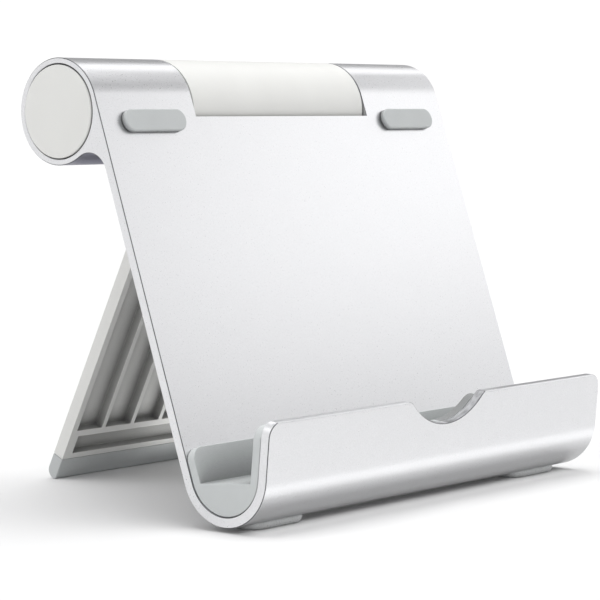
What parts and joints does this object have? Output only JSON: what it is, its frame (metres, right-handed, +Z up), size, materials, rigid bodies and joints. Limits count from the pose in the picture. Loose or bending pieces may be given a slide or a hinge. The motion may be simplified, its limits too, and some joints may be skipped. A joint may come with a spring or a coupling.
{
  "type": "tablet stand",
  "caption": "Folding desktop stand: bent aluminium panel with a lined tray and notched lip, and a ribbed plastic leg hinged in its top barrel.",
  "frame": {"origin": "centre of the footprint, on the floor", "axes": "+X along the width (the hinge axis), -Y out of the front, +Z up"},
  "size_m": [0.1314, 0.1018, 0.1049],
  "materials": {
    "aluminium": "bead-blasted and clear anodised",
    "white_plastic": "satin moulded",
    "grey_elastomer": "matte soft-touch",
    "translucent_rubber": "translucent satin",
    "zinc_casting": "as cast",
    "nylon": "moulded",
    "steel": "turned",
    "bronze": "sintered"
  },
  "bodies": {
    "stand": {"stand_body": "aluminium", "tray_liner": "grey_elastomer", "end_cap_left": "white_plastic", "end_cap_right": "white_plastic", "pad_left": "grey_elastomer", "pad_right": "grey_elastomer", "foot_left": "translucent_rubber", "foot_right": "translucent_rubber", "hub_left": "zinc_casting", "hub_right": "zinc_casting"},
    "rear_leg": {"leg": "white_plastic", "leg_foot": "grey_elastomer", "core_sleeve": "nylon", "hinge_shaft": "steel", "shaft_pin_left": "steel", "shaft_pin_right": "steel", "friction_disc_left": "bronze", "friction_disc_right": "bronze", "washer_left": "steel", "washer_right": "steel", "disc_spring_left_1": "steel", "disc_spring_left_2": "steel", "disc_spring_right_1": "steel", "disc_spring_right_2": "steel", "lock_nut_left": "steel", "lock_nut_right": "steel"}
  },
  "joints": [
    {"name": "leg_hinge", "type": "hinge", "parent": "stand", "child": "rear_leg", "pos_m": [0, 0.01302, 0.0925], "axis": [1, 0, 0], "range_deg": [-45, 30]}
  ]
}
